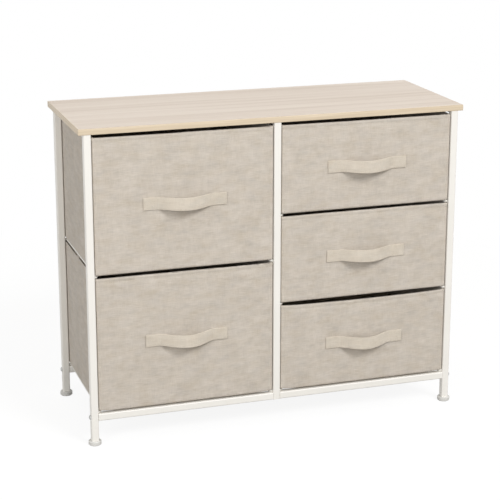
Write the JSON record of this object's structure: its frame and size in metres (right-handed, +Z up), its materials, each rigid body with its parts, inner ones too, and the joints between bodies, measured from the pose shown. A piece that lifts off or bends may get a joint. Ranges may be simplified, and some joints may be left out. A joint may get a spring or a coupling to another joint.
{
  "type": "fabric drawer dresser",
  "caption": "Low dresser with a white square-tube steel frame, a wood-effect panel top and open fabric bins with strap pulls that slide on bent steel rods.",
  "frame": {"origin": "on the floor, under the middle of the overall outline, pulls included", "axes": "+X runs to the right along the width, -Y is the front, +Z is up"},
  "size_m": [0.8, 0.3264, 0.646],
  "materials": {
    "wood_top": "matt light oak foil",
    "wood_edge": "matt light oak edge strip",
    "white_steel": "white powder coat",
    "zinc_steel": "zinc plated",
    "plastic": "moulded, light grey",
    "linen_fabric": "beige linen-look weave",
    "strap_fabric": "beige folded strap, stitched",
    "card": "plain grey-brown board",
    "board_card": "fabric-faced board"
  },
  "bodies": {
    "frame": {"tabletop": "wood_top", "edge_band": "wood_edge", "front_left_leg": "white_steel", "front_right_leg": "white_steel", "front_centre_post": "white_steel", "rear_left_leg": "white_steel", "rear_right_leg": "white_steel", "rear_centre_post": "white_steel", "left_top_bar": "white_steel", "centre_top_bar": "white_steel", "right_top_bar": "white_steel", "front_left_rail": "white_steel", "front_right_rail": "white_steel", "rear_left_rail": "white_steel", "rear_right_rail": "white_steel", "upper_left_runner_left": "white_steel", "upper_left_runner_right": "white_steel", "lower_left_runner_left": "white_steel", "lower_left_runner_right": "white_steel", "upper_right_runner_left": "white_steel", "upper_right_runner_right": "white_steel", "middle_right_runner_left": "white_steel", "middle_right_runner_right": "white_steel", "lower_right_runner_left": "white_steel", "lower_right_runner_right": "white_steel", "rail_end_plugs": "plastic", "leg_inserts": "plastic", "post_end_caps": "plastic", "rail_bolts": "zinc_steel", "board_screws": "zinc_steel"},
    "upper_left_drawer": {"upper_left_bin": "linen_fabric", "upper_left_cards": "card", "upper_left_base_board": "board_card", "upper_left_pull": "strap_fabric"},
    "lower_left_drawer": {"lower_left_bin": "linen_fabric", "lower_left_cards": "card", "lower_left_base_board": "board_card", "lower_left_pull": "strap_fabric"},
    "upper_right_drawer": {"upper_right_bin": "linen_fabric", "upper_right_cards": "card", "upper_right_base_board": "board_card", "upper_right_pull": "strap_fabric"},
    "middle_right_drawer": {"middle_right_bin": "linen_fabric", "middle_right_cards": "card", "middle_right_base_board": "board_card", "middle_right_pull": "strap_fabric"},
    "lower_right_drawer": {"lower_right_bin": "linen_fabric", "lower_right_cards": "card", "lower_right_base_board": "board_card", "lower_right_pull": "strap_fabric"},
    "front_left_levelling_foot": {"front_left_foot": "plastic"},
    "front_right_levelling_foot": {"front_right_foot": "plastic"},
    "rear_left_levelling_foot": {"rear_left_foot": "plastic"},
    "rear_right_levelling_foot": {"rear_right_foot": "plastic"}
  },
  "joints": [
    {"name": "upper_left_slide", "type": "slide", "parent": "frame", "child": "upper_left_drawer", "axis": [0, -1, 0], "range_m": [0, 0.2]},
    {"name": "lower_left_slide", "type": "slide", "parent": "frame", "child": "lower_left_drawer", "axis": [0, -1, 0], "range_m": [0, 0.2]},
    {"name": "upper_right_slide", "type": "slide", "parent": "frame", "child": "upper_right_drawer", "axis": [0, -1, 0], "range_m": [0, 0.2]},
    {"name": "middle_right_slide", "type": "slide", "parent": "frame", "child": "middle_right_drawer", "axis": [0, -1, 0], "range_m": [0, 0.2]},
    {"name": "lower_right_slide", "type": "slide", "parent": "frame", "child": "lower_right_drawer", "axis": [0, -1, 0], "range_m": [0, 0.2]},
    {"name": "front_left_foot_height", "type": "slide", "parent": "frame", "child": "front_left_levelling_foot", "axis": [0, 0, -1], "range_m": [0, 0.008]},
    {"name": "front_right_foot_height", "type": "slide", "parent": "frame", "child": "front_right_levelling_foot", "axis": [0, 0, -1], "range_m": [0, 0.008]},
    {"name": "rear_left_foot_height", "type": "slide", "parent": "frame", "child": "rear_left_levelling_foot", "axis": [0, 0, -1], "range_m": [0, 0.008]},
    {"name": "rear_right_foot_height", "type": "slide", "parent": "frame", "child": "rear_right_levelling_foot", "axis": [0, 0, -1], "range_m": [0, 0.008]}
  ]
}
